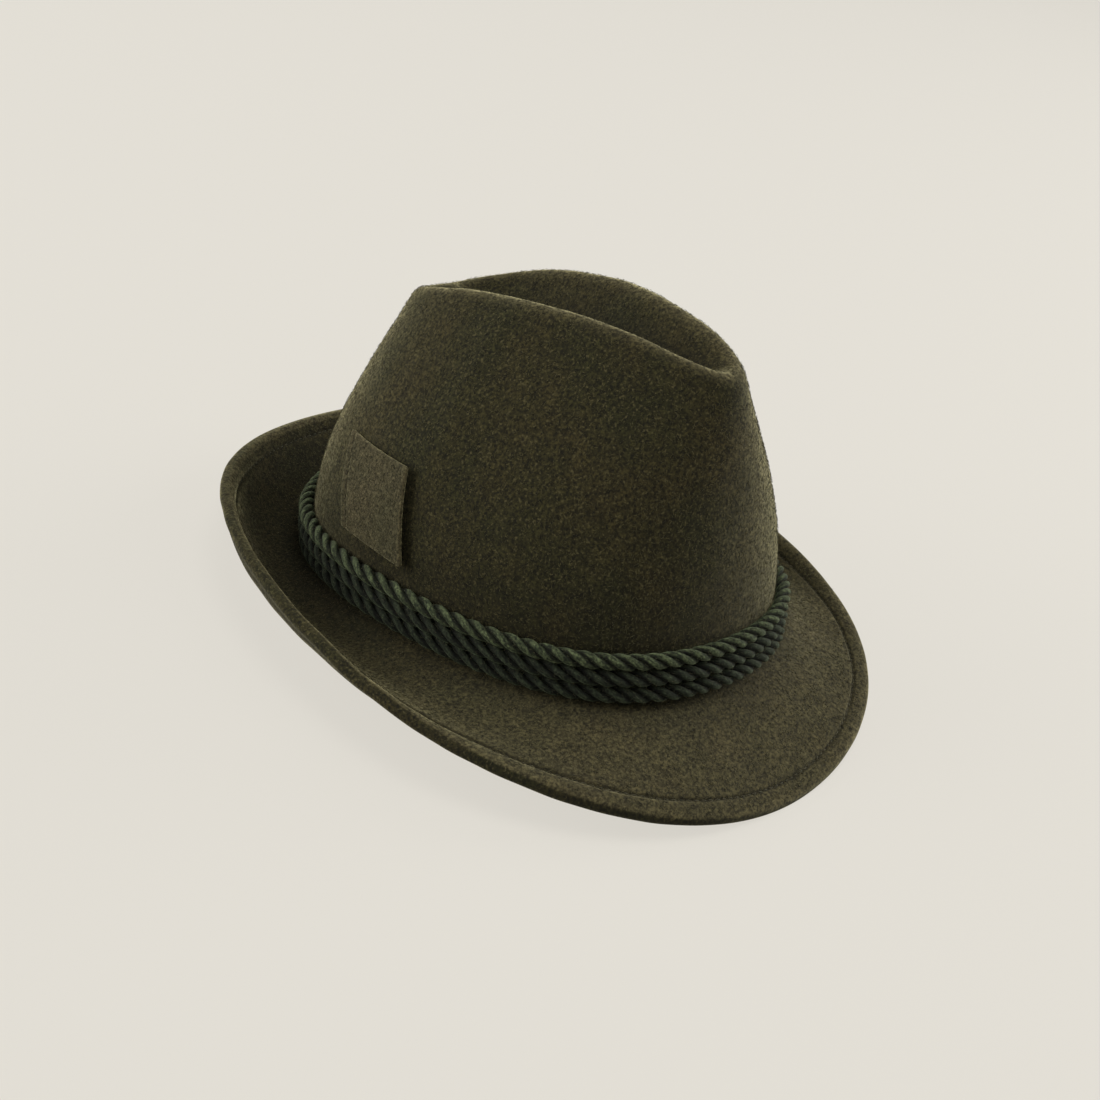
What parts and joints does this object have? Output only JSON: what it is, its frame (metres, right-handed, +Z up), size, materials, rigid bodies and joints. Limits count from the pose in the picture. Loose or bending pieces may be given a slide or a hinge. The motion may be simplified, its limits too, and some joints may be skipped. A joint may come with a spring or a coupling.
{
  "type": "felt hat",
  "caption": "Felt hat with a lengthwise creased crown, a folded and stitched brim turned up at the back and down at the front, twisted cords round the crown and a felt feather holder.",
  "frame": {"origin": "on the surface that the hat rests on, below the middle of its bounding box", "axes": "+Z up, -Y towards the front of the hat, +X towards the wearer's left. The hat lies as it rests on its brim, tipped back by about 8 degrees from the level of its crown's base"},
  "size_m": [0.2516, 0.2854, 0.1443],
  "materials": {
    "felt": "brushed wool felt, mottled dark olive brown",
    "cord": "twisted dark green cord",
    "holder_felt": "fine wool felt, mottled grey brown"
  },
  "bodies": {
    "root": {"crown_and_brim": "felt", "cord_lower": "cord", "cord_middle": "cord", "cord_upper": "cord", "feather_holder": "holder_felt"}
  },
  "joints": []
}
